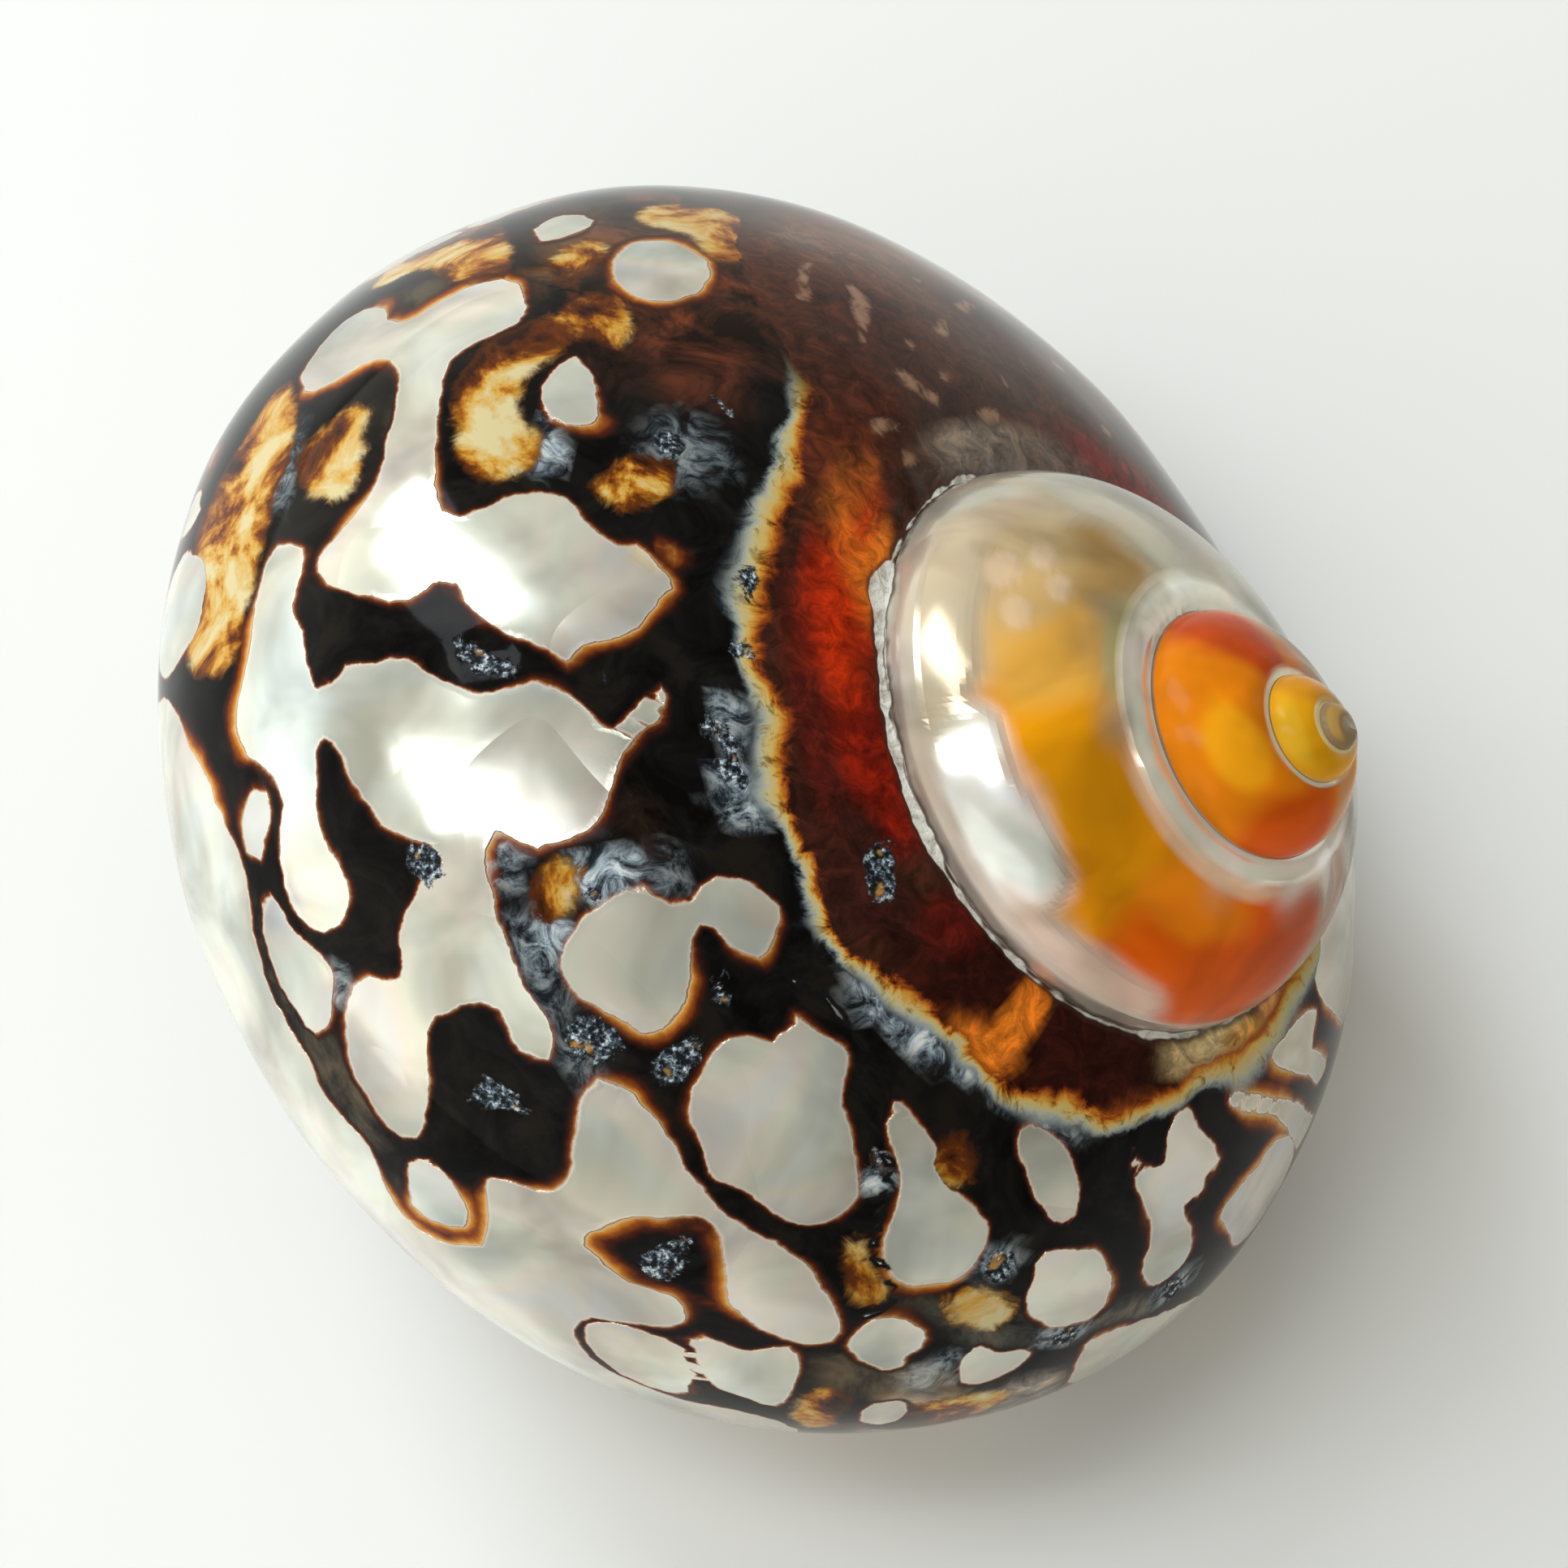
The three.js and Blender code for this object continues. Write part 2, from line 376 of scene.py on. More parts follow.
# Windows where the dark outer layer is polished through to the nacre, as outlines of coil angle
# and side. Neighbours stand on different layers, so that the thin dark line between them stays.
firstWindows = (
    ((-214, -64), (-212, -71), (-206, -76.5), (-200, -78.5), (-197.5, -76), (-200, -72),
     (-206, -67), (-211, -62)),
    ((-188, -45), (-188.5, -51), (-182, -58), (-178, -61), (-176, -65), (-173, -68.5),
     (-169.5, -65.5), (-166, -65), (-169, -59.5), (-165.5, -55), (-167, -48), (-170, -40.5),
     (-175, -38), (-177, -35.5), (-180, -38.5), (-186, -39.5)),
    ((-128, -65.5), (-132.5, -64), (-134, -59.5), (-137, -55.5), (-142, -51.5), (-144, -42),
     (-143, -37.5), (-141, -34.5), (-143.5, -31), (-149, -30), (-149, -18), (-144, -18),
     (-143.5, -24), (-141.5, -24), (-140.5, -17), (-136, -12.5), (-131, -11), (-131.5, -8),
     (-134, -6.5), (-137.5, -4), (-143.5, -7.5), (-146.5, -1), (-145, 6.5), (-141, 6.5),
     (-137.5, 4.5), (-134.5, 0), (-129, 10.5), (-123, 3.5), (-114, 1), (-114.5, -6), (-117, -8),
     (-120, -5), (-123, -7.5), (-128, -8.5), (-127.5, -12), (-125.5, -16), (-126.5, -20),
     (-125.5, -25), (-130, -35), (-128.5, -45), (-129.5, -51), (-134, -55.5), (-132, -59)),
    ((-146, -30), (-154, -29), (-160, -29), (-161.5, -25), (-159.5, -21.5), (-155.5, -24),
     (-154.5, -18), (-155, -9.5), (-160, -5), (-164, 4), (-163, 9.5), (-155, 9.5), (-149.5, -1),
     (-152, -10), (-147, -13), (-144.5, -19), (-144.5, -24)),
    ((-207.8, -31), (-206, -33.5), (-201.5, -34.5), (-200, -30), (-200, -24), (-204, -20.5),
     (-208, -22), (-207, -27)),
    ((-197, -19), (-201, -11), (-204.5, 2), (-200, 3.5), (-196.5, 3), (-192, -5), (-189.5, -8),
     (-193.5, -10), (-196, -14)),
    ((-199, 14), (-196, 5), (-193, -1), (-190, -4), (-186, 1), (-184.8, 6), (-187, 12), (-192, 17)),
    ((-172.6, 11), (-171, 5.5), (-168.5, 3.8), (-165.5, 5), (-165, 9.5), (-167.5, 15), (-170, 19)),
    ((-101.8, -49), (-100.5, -52.5), (-97.5, -52), (-92.5, -46), (-95, -43), (-99, -42),
     (-101.5, -44.5)),
    ((-79.5, -26), (-77, -29.5), (-74, -30), (-72, -26), (-73.5, -20.5), (-77.5, -22)),
    ((-228, -39.5), (-226.5, -50), (-223, -55.5), (-219, -58.5), (-211, -56), (-213.8, -50),
     (-214, -45), (-218, -39)),
    ((-237.5, -86.5), (-241, -82), (-253, -75), (-257, -69), (-262, -60), (-267, -48), (-273, -50),
     (-268, -60), (-264, -67), (-258, -75), (-251, -80), (-243, -85)),
    ((-275, -92.5), (-273.5, -86), (-277, -78), (-281, -68), (-286, -58), (-302, -56), (-302, -93)),
    ((-222, -29.5), (-219.5, -32.5), (-216, -31), (-212.5, -33), (-213, -28), (-215, -22.5),
     (-218, -20)),
    ((-217, -1), (-215, -8), (-213, -12), (-210.5, -10), (-210.5, -6), (-213, 0), (-215.5, 2.5)),
    ((-229, -34), (-229, -29), (-234, -12), (-241, -6), (-250, -12), (-252, -24), (-246, -30),
     (-239, -33)),
)
secondWindows = (
    ((-205, -46), (-204.5, -56), (-201, -60), (-191, -62), (-191, -65.5), (-181, -69.5),
     (-184, -62.5), (-188, -60), (-191.5, -54.5), (-195, -43.5), (-199.5, -39.5)),
    ((-160, -65), (-157.5, -69), (-154.5, -72), (-149.5, -67), (-150, -62), (-153, -57),
     (-148.3, -53.5), (-149.5, -46), (-151, -41), (-155, -33.5), (-160, -40), (-163, -43),
     (-161, -51), (-154, -57.5), (-154.5, -61), (-158, -62.5)),
    ((-127.5, -51), (-124.5, -54), (-124, -60), (-120, -65), (-116.5, -67.5), (-113, -62.5),
     (-114, -57), (-109.3, -51), (-110, -43), (-113.5, -35), (-112.5, -30), (-105, -28),
     (-105, -20), (-111, -19), (-114, -14.5), (-117, -8.5), (-120, -14.5), (-121.5, -27),
     (-118.5, -32.5), (-122.5, -37), (-124.5, -42), (-125, -49)),
    ((-115, -27.5), (-108, -28.8), (-101, -27), (-97, -25), (-90.5, -35.5), (-85, -29), (-87, -21),
     (-93.5, -12), (-88, -5), (-89.5, 4), (-96, 5.5), (-100, -1), (-96, -13), (-100, -19.5),
     (-108, -20), (-115, -19)),
    ((-83, -47), (-81.5, -53), (-77.5, -55), (-72.5, -52.5), (-71.5, -44), (-75, -38.5),
     (-81, -40)),
    ((-199.5, -24), (-198, -28.5), (-189, -36.5), (-180, -32.2), (-171, -36), (-165, -34.5),
     (-163.8, -30), (-169, -20), (-171.5, -15.5), (-171.8, -10), (-168, -3), (-171, 1),
     (-174.2, 8), (-174.2, 15), (-172, 21.5), (-168, 21.5), (-163, 16), (-159, 19.5), (-154, 17),
     (-148, 19.5), (-139, 14), (-134, 17), (-128, 21), (-121, 30), (-118, 60), (-220, 60),
     (-214, 16), (-206, 7), (-200, 14), (-192, 19), (-186, 13), (-184, 4), (-190, -7.5),
     (-186, -13.5), (-181, -8.5), (-176, -9), (-177, -22), (-180.3, -31), (-184, -28), (-189, -18),
     (-197, -18)),
    ((-232, -81.5), (-228, -86.5), (-224.5, -82), (-227, -75), (-222, -74.5), (-217.5, -79),
     (-221, -72), (-225, -68), (-229.5, -60), (-231, -50), (-235, -43.5), (-240, -47), (-239, -56),
     (-232, -68), (-238, -65.5), (-236.5, -70), (-240.5, -73)),
    ((-243, -58.5), (-245.5, -63.5), (-257, -66.5), (-262.5, -60), (-266, -48), (-262, -36),
     (-253, -38), (-246, -53)),
    ((-251, -88), (-259, -80), (-267, -71), (-270, -64), (-275, -64), (-271, -74), (-266, -80),
     (-272.5, -84.5), (-266, -89)),
)
thirdWindows = (
    ((-153.5, 12.5), (-151.5, 6), (-148.7, 1.5), (-146, 7), (-140.5, 11), (-144, 15), (-148, 16),
     (-152.5, 14.5)),
    ((-139.5, 11), (-137, 6), (-134.5, 3.5), (-133, 6), (-135, 12), (-137.5, 13)),
    ((-114.5, -66.5), (-112.5, -68), (-111.3, -66), (-112.5, -64.5)),
)
pearlWindows = {
    "pearlFirst": firstWindows, "pearlSecond": secondWindows, "pearlThird": thirdWindows,
}
# Patches that stop half way down, in the streaky cream, amber and brown layers
amberPatches = (
    ((-110, -35), (-108.5, -43), (-105, -47), (-101.5, -40), (-98, -39), (-92, -44), (-87, -41),
     (-94, -30), (-98, -28.5), (-105, -30)),
    ((-110.5, -58), (-109, -62), (-105.5, -66.5), (-102, -65), (-102, -60), (-106, -55),
     (-109, -53.5)),
    ((-112, -14), (-108.5, -16.5), (-105, -15), (-102.5, -16), (-101.5, -11), (-105, -4),
     (-108, -2), (-111, -8)),
    ((-124.5, 10), (-120, 4), (-112, 1.5), (-103, -1), (-99, 3), (-95, 9), (-100, 14), (-107, 22),
     (-115, 25), (-122, 20)),
    ((-91, -52), (-87, -51), (-83.5, -47), (-84, -41), (-88, -39), (-92, -43), (-90, -46)),
    ((-86, -38), (-81, -38.5), (-76, -36), (-77, -31), (-83, -31)),
    ((-87, -26), (-83, -26), (-78, -18), (-73, -8), (-76, 0), (-80, 6), (-86, 2), (-83, -8),
     (-87, -17)),
    ((-215, -41), (-212, -46), (-207, -46), (-204, -42), (-207, -36), (-214, -35)),
    ((-208, -11), (-203, -11), (-204, -2), (-208, 8), (-214, 10), (-211, 2)),
    ((-198, 7), (-194, 4), (-189.5, 4), (-190, 9), (-194, 13), (-198, 13)),
    ((-197.5, -64), (-195, -69), (-191, -70.5), (-189.5, -66), (-192, -61.5), (-197, -61)),
    ((-149, -43), (-146, -46), (-144.5, -42), (-147, -36), (-150.5, -34), (-150.5, -38)),
    ((-73, -52), (-67, -56), (-62, -50), (-60, -38), (-66, -30), (-72, -34), (-69, -44)),
    ((-188, -59), (-186, -60), (-184.5, -58.5), (-187, -55)),
    ((-200, -38), (-196, -41), (-191, -47), (-190, -44), (-193, -38), (-198, -31)),
    ((-226, -20), (-216, -17), (-212, 0), (-219, 10), (-226, 4)),
)
# Rough inclusions in the dark layer, as chains of coil angle, side and radius in millimetres
inclusions = (
    ((-162.5, -56, 0.35), (-160, -57.5, 0.45)), ((-165, -49, 0.3), (-166, -42, 0.75)),
    ((-160.8, -34.5, 1.15),), ((-164, -17, 0.5), (-162, -14, 0.75), (-162.5, -10.5, 0.3)),
    ((-181, -24, 0.35), (-182, -17, 0.9)),
    ((-127.3, -42, 0.35), (-126.8, -37, 0.55), (-125, -35, 0.35)), ((-128, -57.5, 0.3),),
    ((-142.8, -21, 0.9),), ((-148.5, -45, 0.5),), ((-186.5, -57, 0.45), (-185, -59, 0.3)),
    ((-123.3, -77, 0.45),), ((-116, -77.5, 0.35), (-112.5, -77.8, 0.45)),
    ((-157, -86, 0.7), (-153, -88.5, 0.7), (-150, -91, 0.3)), ((-208, -51, 0.8),),
    ((-166, -5.5, 0.15),), ((-133, -71.5, 0.6), (-140, -73, 0.4)), ((-100, -64, 0.8),),
    ((-92, -69, 0.3), (-91, -67, 0.2)), ((-224, -36, 0.7),), ((-240, -41, 0.8),),
)
crackLine = (
    (-163, -68), (-168, -70.5), (-172, -70.7), (-175.5, -68.5), (-178, -64.8), (-183, -60.8),
    (-187.5, -58.5), (-190.3, -53), (-192.3, -48), (-194.3, -43.5), (-198.5, -39.8), (-200.3, -36),
    (-199.5, -31),
)

# Worn pale flecks on the brown near the mouth, as chains like the inclusions
flecks = (
    ((-68, -65, 0.2), (-61.5, -58.5, 0.16)),
    ((-66, -75.5, 0.2), (-60.5, -69, 0.42), (-59.5, -66, 0.3)), ((-58.5, -78, 0.3),),
    ((-56, -83.5, 0.36), (-53.5, -82.5, 0.3)), ((-51.5, -90, 0.3), (-48.5, -89.5, 0.3)),
    ((-51, -76, 0.34), (-48.5, -73, 0.2)), ((-65, -82.5, 0.4), (-61, -87, 0.3)), ((-43, -83, 0.3),),
    ((-42, -68, 0.4), (-39, -64, 0.2)), ((-46, -62, 0.3),), ((-36, -77, 0.4),),
    ((-33, -57, 0.5), (-29, -53, 0.3)), ((-27, -70, 0.5),), ((-20, -62, 0.5), (-16, -57, 0.3)),
    ((-22, -82, 0.4),), ((-10, -73, 0.6),), ((-8, -50, 0.6), (-3, -45, 0.4)), ((4, -64, 0.6),),
    ((16, -55, 0.7), (21, -50, 0.4)), ((14, -78, 0.5),), ((30, -67, 0.6),),
    ((38, -48, 0.7), (43, -43, 0.4)), ((46, -72, 0.6),), ((-18, -34, 0.5),), ((6, -28, 0.6),),
    ((28, -22, 0.7),), ((-84, -57, 0.2),), ((-88.5, -54, 0.25),),
    ((-78, -86, 0.25), (-73, -88, 0.2)), ((-76, -92, 0.2), (-71, -94, 0.15)),
)

# Where the red-brown band by the seam ends: coil angle and side
bandEdge = (
    (-300, -97.5), (-292, -96), (-280, -96), (-262, -94), (-245, -91), (-230, -91), (-224, -87),
    (-212, -83), (-200, -81.5), (-188, -80), (-182, -81.5), (-174, -81), (-168, -78.5), (-163, -76),
    (-156, -77), (-150, -79), (-142, -77.5), (-136, -79), (-131, -80.5), (-125, -78), (-112, -80),
    (-100, -81), (-88, -79), (-80, -76), (-72, -58), (-62, -44), (-52, -34), (-44, -30), (-36, -32),
    (-26, -41), (-18, -51), (-9, -53), (2, -62), (10, -64.5), (20, -70), (29, -70), (40, -74.5),
    (50, -73), (60, -76),
)

# Soft stains, and on the nacre of the earlier whorls also painted light and shade: coil angle,
# side, reach in degrees each way, strength and colour
maroon, ember, flame = (0.026, 0.0045, 0.0025), (0.19, 0.009, 0.002), (0.46, 0.026, 0.002)
orange, cream, smoke = (0.78, 0.20, 0.015), (0.66, 0.50, 0.24), (0.045, 0.040, 0.032)
bandStains = (
    (-196, -90, 30, 14, 1, maroon), (-186.5, -90, 3.6, 14, 1, orange),
    (-184, -84, 7, 3.2, 0.9, orange), (-170, -90, 13, 12, 0.9, maroon),
    (-166, -93, 7, 5, 0.8, (0.1, 0.008, 0.004)), (-150, -86, 18, 7, 1, (0.035, 0.009, 0.006)),
    (-138, -93, 18, 4.2, 1, ember), (-115, -91, 12, 5, 1, flame), (-104, -92, 16, 5, 0.9, flame),
    (-128, -85, 18, 2.6, 0.7, (0.09, 0.008, 0.004)), (-100, -95, 12, 3, 0.9, orange),
    (-92, -89, 10, 3, 0.6, orange), (-58, -53, 3.4, 5, 0.7, (0.2, 0.13, 0.1)),
    (-84, -84, 14, 6, 0.6, (0.1, 0.02, 0.007)), (-74, -68, 14, 16, 0.7, (0.055, 0.017, 0.009)),
    (-70, -54, 12, 12, 0.6, (0.075, 0.02, 0.008)), (-50, -72, 18, 16, 0.6, (0.045, 0.008, 0.005)),
    (-50, -94, 24, 3.6, 0.8, (0.26, 0.22, 0.17)), (-30, -84, 24, 8, 0.5, (0.055, 0.026, 0.015)),
    (-50, -55, 12, 16, 0.6, (0.15, 0.05, 0.02)), (0, -70, 60, 60, 0.5, (0.075, 0.026, 0.013)),
    (-236, -95, 14, 5.5, 1, cream), (-246, -94, 8, 3, 0.8, (0.6, 0.28, 0.05)),
    (-262, -96, 12, 3, 1, (0.62, 0.28, 0.1)), (-285, -97, 18, 2.5, 1, (0.72, 0.28, 0.08)),
    (-218, -84, 7, 3, 0.7, (0.25, 0.06, 0.01)),
    # its far side
    (-6, -88, 26, 6, 0.8, ember), (32, -92, 26, 5, 0.8, flame), (50, -82, 16, 6, 0.7, maroon),
    (-28, -62, 16, 9, 0.7, maroon), (8, -76, 24, 5, 0.7, (0.02, 0.006, 0.004)),
    (-40, -50, 16, 9, 0.6, (0.14, 0.045, 0.01)), (-14, -66, 14, 5, 0.6, (0.18, 0.06, 0.012)),
)
lacquerStains = (
    (-158, 13, 6, 4, 1, smoke), (-146, 16.5, 9, 1.6, 0.9, smoke), (-170, 19, 5, 4, 0.7, smoke),
    (-222, -38, 20, 5, 0.7, (0.1, 0.1, 0.085)), (-214, -18, 12, 7, 0.7, (0.09, 0.075, 0.05)),
    (-225, -5, 12, 16, 0.8, (0.42, 0.38, 0.32)), (-204, -19, 4, 3, 0.6, smoke),
    (-90, -13, 4, 6, 0.8, smoke), (-84, -60, 10, 12, 0.8, (0.06, 0.018, 0.009)),
    (-79, -72, 8, 9, 0.7, (0.02, 0.009, 0.006)), (-74, -34, 12, 12, 0.7, (0.1, 0.05, 0.02)),
    (-145, -57, 6, 5, 0.5, (0.03, 0.014, 0.008)), (-103, -20, 3, 2, 0.4, smoke),
    (-77, -54, 11, 16, 1, (0.07, 0.019, 0.007)), (-66, -34, 12, 12, 0.8, (0.07, 0.024, 0.009)),
    (-92, -50, 5, 8, 0.6, (0.03, 0.009, 0.004)),
)
# blue-white cloud under the dark layer: coil angle, side, reach each way, strength
clouds = (
    (-176, -77, 7, 3.2, 1), (-180, -79, 10, 2.2, 1), (-171, -76.5, 5, 3.5, 0.8),
    (-147, -48, 2.6, 8, 1), (-151, -36, 2.5, 5, 0.9), (-153, -33, 4, 3, 0.6),
    (-144, -33, 3, 3.5, 0.6), (-141, -73, 4, 4, 0.8), (-133, -74, 5, 2.5, 0.7),
    (-158, -78, 3, 2, 0.5), (-105, -46, 3, 3, 0.9), (-188, -55, 2, 3, 0.9), (-150, 4, 2, 4, 0.5),
    (-207, -52, 3, 4, 0.7), (-224, -36, 4, 2.5, 0.8), (-240, -41, 4, 4, 0.8),
    (-100, -66, 5, 6, 0.35), (-212, -22, 3, 7, 0.5), (-107, 0, 4, 3, 0.4),
    (-200, -79.5, 12, 1.8, 0.6), (-148, -58, 3, 3, 0.3), (-160, -30, 5, 2, 0.35),
)
pearlStainsAndPaintedLight = (
    # the last whorl
    (-196, -65, 3, 3, 0.5, cream), (-155, -69, 3, 3, 0.5, (0.66, 0.5, 0.36)),
    (-130, -3, 14, 8, 0.5, (0.62, 0.68, 0.7)), (-147, 10, 6, 5, 0.8, (0.66, 0.68, 0.66)),
    (-137, 8, 4, 4, 0.8, (0.62, 0.66, 0.68)), (-169, 11, 4, 8, 0.8, (0.6, 0.63, 0.63)),
    (-165, 36, 62, 19, 1, (0.78, 0.765, 0.72)), (-192, 3, 6, 9, 0.6, (0.8, 0.76, 0.66)),
    (-113, -64, 3, 3, 0.6, cream), (-290, -80, 20, 30, 0.6, (0.62, 0.57, 0.47)),
    (-255, -80, 20, 10, 0.5, (0.48, 0.45, 0.32)), (-236, -20, 12, 16, 0.6, (0.66, 0.62, 0.53)),
    # the whorl before, from its upper seam down: its colour zones are partly its own colour and
    # partly painted light and shade
    (-490, -55, 120, 60, 1, (0.42, 0.33, 0.22)), (-525, -58, 44, 36, 1, (0.68, 0.24, 0.002)),
    (-500, -64, 44, 18, 1, (0.67, 0.26, 0.002)), (-580, -50, 34, 44, 1, (0.7, 0.1, 0.002)),
    (-590, -66, 22, 18, 0.7, (0.66, 0.085, 0.004)), (-556, -70, 22, 14, 0.8, (0.74, 0.2, 0.006)),
    (-470, -62, 20, 24, 0.8, (0.62, 0.33, 0.06)), (-440, -70, 18, 16, 0.9, (0.36, 0.21, 0.06)),
    (-452, -50, 18, 18, 0.7, (0.46, 0.33, 0.16)), (-462, -84, 20, 5, 0.7, (0.42, 0.38, 0.18)),
    (-405, -45, 24, 50, 1, (0.44, 0.4, 0.33)), (-350, -45, 44, 60, 1, (0.38, 0.345, 0.28)),
    (-338, -66, 14, 16, 0.6, (0.46, 0.38, 0.2)), (-366, -30, 14, 14, 0.6, (0.52, 0.42, 0.37)),
    (-322, -30, 12, 18, 0.6, (0.4, 0.44, 0.42)), (-628, -45, 12, 50, 0.9, (0.42, 0.22, 0.12)),
    # the near-white patch at coil angle -512, side -25, is partly pale nacre and partly a painted
    # highlight
    (-648, -45, 14, 60, 0.8, (0.35, 0.3, 0.24)), (-512, -25, 21, 22, 1, (0.84, 0.85, 0.84)),
    (-548, -16, 22, 14, 0.9, (0.62, 0.46, 0.38)), (-466, -18, 26, 18, 0.9, (0.5, 0.41, 0.3)),
    (-500, -7, 100, 6, 0.9, (0.52, 0.44, 0.38)), (-455, -42, 5, 6, 0.6, (0.66, 0.48, 0.34)),
    (-466, -50, 4, 5, 0.5, (0.66, 0.48, 0.34)), (-448, -54, 4, 5, 0.6, (0.66, 0.48, 0.34)),
    (-455, -63, 4, 4, 0.5, (0.66, 0.48, 0.34)), (-545, -84, 50, 4.5, 0.9, (0.7, 0.44, 0.28)),
    (-500, -92.5, 175, 6.2, 1, (0.84, 0.8, 0.72)),
    # the orange whorl before that: its yellow middle and darker red sides are partly its own colour
    # and partly painted light and shade
    (-870, -45, 200, 100, 1, (0.7, 0.19, 0.003)), (-940, -40, 36, 70, 0.9, (0.56, 0.065, 0.003)),
    (-790, -45, 24, 60, 0.9, (0.5, 0.045, 0.003)), (-862, -60, 30, 28, 0.9, (0.76, 0.31, 0.006)),
    (-860, -96.2, 220, 3.4, 1, (0.84, 0.74, 0.56)), (-985, -50, 24, 60, 0.8, (0.5, 0.26, 0.12)),
    (-715, -50, 50, 60, 1, (0.46, 0.38, 0.28)),
    # the yellow whorl and the grey tip
    (-1210, -50, 190, 80, 1, (0.8, 0.36, 0.006)), (-1210, -94, 200, 7, 1, (0.84, 0.68, 0.36)),
    (-1225, -35, 50, 30, 0.6, (0.8, 0.48, 0.03)), (-1130, -45, 46, 60, 0.6, (0.6, 0.22, 0.01)),
    (-1075, -60, 30, 60, 0.7, (0.42, 0.26, 0.08)), (-1600, -50, 200, 90, 1, (0.3, 0.2, 0.1)),
    (-1560, -60, 90, 30, 0.6, (0.62, 0.36, 0.06)),
)


def millimetresPerDegree(angles, sides):
    size = turban["tubeRadius"] * 1000 * growthAt(angles) * radian
    out, _ = sectionPoint(sides, outlineRadius(sides))
    return size * np.maximum(out, 0.05), size * outlineRadius(sides)


def rounded(outline):
    # cuts every corner twice, so a few points make a smooth line
    points = np.array(outline, float)
    for _ in range(2):
        ahead = np.roll(points, -1, axis=0)
        cuts = [0.78 * points + 0.22 * ahead, 0.22 * points + 0.78 * ahead]
        points = np.stack(cuts, axis=1).reshape(-1, 2)
    return points


def outlineDistance(place, outline, margin=12):
    # distance in millimetres from each point to a closed outline, below 0 inside it
    angles, sides, perAngle, perSide = place
    points = rounded(outline)
    low, high = points.min(0) - margin, points.max(0) + margin
    near = (angles > low[0]) & (angles < high[0]) & (sides > low[1]) & (sides < high[1])
    far = np.full(len(angles), farOff)
    a, s, pa, ps = angles[near], sides[near], perAngle[near], perSide[near]
    best = np.full(len(a), farOff)
    inside = np.zeros(len(a), bool)
    for start, end in zip(points, np.roll(points, -1, axis=0)):
        x, y = (a - start[0]) * pa, (s - start[1]) * ps
        dx, dy = (end[0] - start[0]) * pa, (end[1] - start[1]) * ps
        share = np.clip((x * dx + y * dy) / np.maximum(dx * dx + dy * dy, 1e-9), 0, 1)
        best = np.minimum(best, np.hypot(x - share * dx, y - share * dy))
        rise = end[1] - start[1]
        if rise:
            crossed = (start[1] > s) != (end[1] > s)
            inside ^= crossed & (a < start[0] + (s - start[1]) * (end[0] - start[0]) / rise)
    far[near] = np.where(inside, -best, best)
    return far


def chainDistance(place, chain):
    # distance in millimetres from each point to a chain of round spots
    angles, sides, perAngle, perSide = place
    best = np.full(len(angles), farOff)
    links = list(zip(chain, chain[1:])) or [(chain[0], chain[0])]
    for (a0, s0, r0), (a1, s1, r1) in links:
        x, y = (angles - a0) * perAngle, (sides - s0) * perSide
        dx, dy = (a1 - a0) * perAngle, (s1 - s0) * perSide
        share = np.clip((x * dx + y * dy) / np.maximum(dx * dx + dy * dy, 1e-9), 0, 1)
        best = np.minimum(best, np.hypot(x - share * dx, y - share * dy) - r0 - share * (r1 - r0))
    return best


def smooth(value):
    value = np.clip(value, 0, 1)
    return value * value * (3 - 2 * value)


def isTaken(angle, side):
    # whether listed markings or the band lie there
    if any(low < angle < high and side < below for low, high, below in turban["keptClear"]):
        return True
    margin = turban["lipMargin"] if angle > turban["lipFrom"] else turban["bandMargin"]
    if side < np.interp(angle, *zip(*bandEdge)) + margin:
        return True
    # the last whorl's start, which is in view up to a sloping line
    return angle < -228 and side < -4 - (angle + 252) * 0.6


def extraWindows():
    # the same kind of windows where the drawn ones stop: the base, the far side and the lip
    draw = random.Random(turban["windowSeed"])
    placed, outlines, radii = [], [], []
    tries, corners = turban["windowTries"], turban["windowCorners"]
    least, most = turban["windowRadius"]
    for tried in range(tries):
        angle, side = draw.uniform(*turban["windowAngles"]), draw.uniform(*turban["windowSides"])
        # the large ones are set first, and the small ones fill in
        radius = least + (most - least) * draw.random() ** 1.5 * (1 - tried / tries * 0.8)
        if isTaken(angle, side):
            continue
        perAngle, perSide = millimetresPerDegree(angle, side)
        radius *= growthAt(angle) / growthAt(-120)
        gap = draw.uniform(*turban["windowGap"])
        if any(np.hypot((angle - a) * perAngle, (side - s) * perSide) <= radius + r + gap
               for a, s, r in placed):
            continue
        placed.append((angle, side, radius))
        stretch, lean = draw.uniform(1.0, turban["windowStretch"]), draw.uniform(0, math.pi)
        outline = []
        for i in range(corners):
            turn = 2 * math.pi * i / corners
            reach = radius * (1.12 + draw.uniform(-1, 1) * turban["windowJitter"])
            reach *= 1 + (stretch - 1) * math.cos(2 * (turn - lean))
            across, along = reach * math.cos(turn) / perAngle, reach * math.sin(turn) / perSide
            outline.append((angle + across, side + along))
        outlines.append(outline)
        radii.append(radius)
    return outlines, radii


def stain(colours, angles, sides, wander, stains):
    for angle, side, acrossReach, alongReach, strength, colour in stains:
        far = np.hypot((angles - angle) / acrossReach, (sides - side) / alongReach)
        mask = strength * smooth((1.25 - far + 0.4 * wander) / 0.6)
        colours[:] = colours * (1 - mask[:, None]) + np.array(colour) * mask[:, None]


def floatLayer(mesh, name, values):
    layer = mesh.attributes.new(name, "FLOAT", "POINT")
    layer.data.foreach_set("value", np.asarray(values, np.float32))


